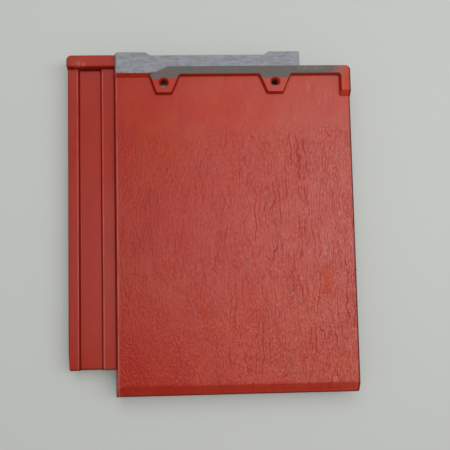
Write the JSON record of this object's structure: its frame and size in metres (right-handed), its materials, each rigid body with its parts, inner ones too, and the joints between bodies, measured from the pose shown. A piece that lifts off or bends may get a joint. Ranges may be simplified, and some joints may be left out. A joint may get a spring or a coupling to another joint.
{
  "type": "flat roof tile",
  "caption": "Flat interlocking roof tile of pressed concrete with a side underlap and channel, a raised head band with nail bosses, batten nibs and a bevelled foot.",
  "frame": {"origin": "under the middle of the tile's bounding box, on the level that the nibs and the foot rest on", "axes": "+Y to the head, the ridge side of the roof; +X to the overlock side, right seen from above; +Z out of the weathered face"},
  "size_m": [0.3524, 0.42, 0.0385],
  "materials": {
    "tile_concrete": "acrylic coated concrete, satin, bare grey at the head and underneath"
  },
  "bodies": {
    "root": {"roof_tile": "tile_concrete"}
  },
  "joints": []
}
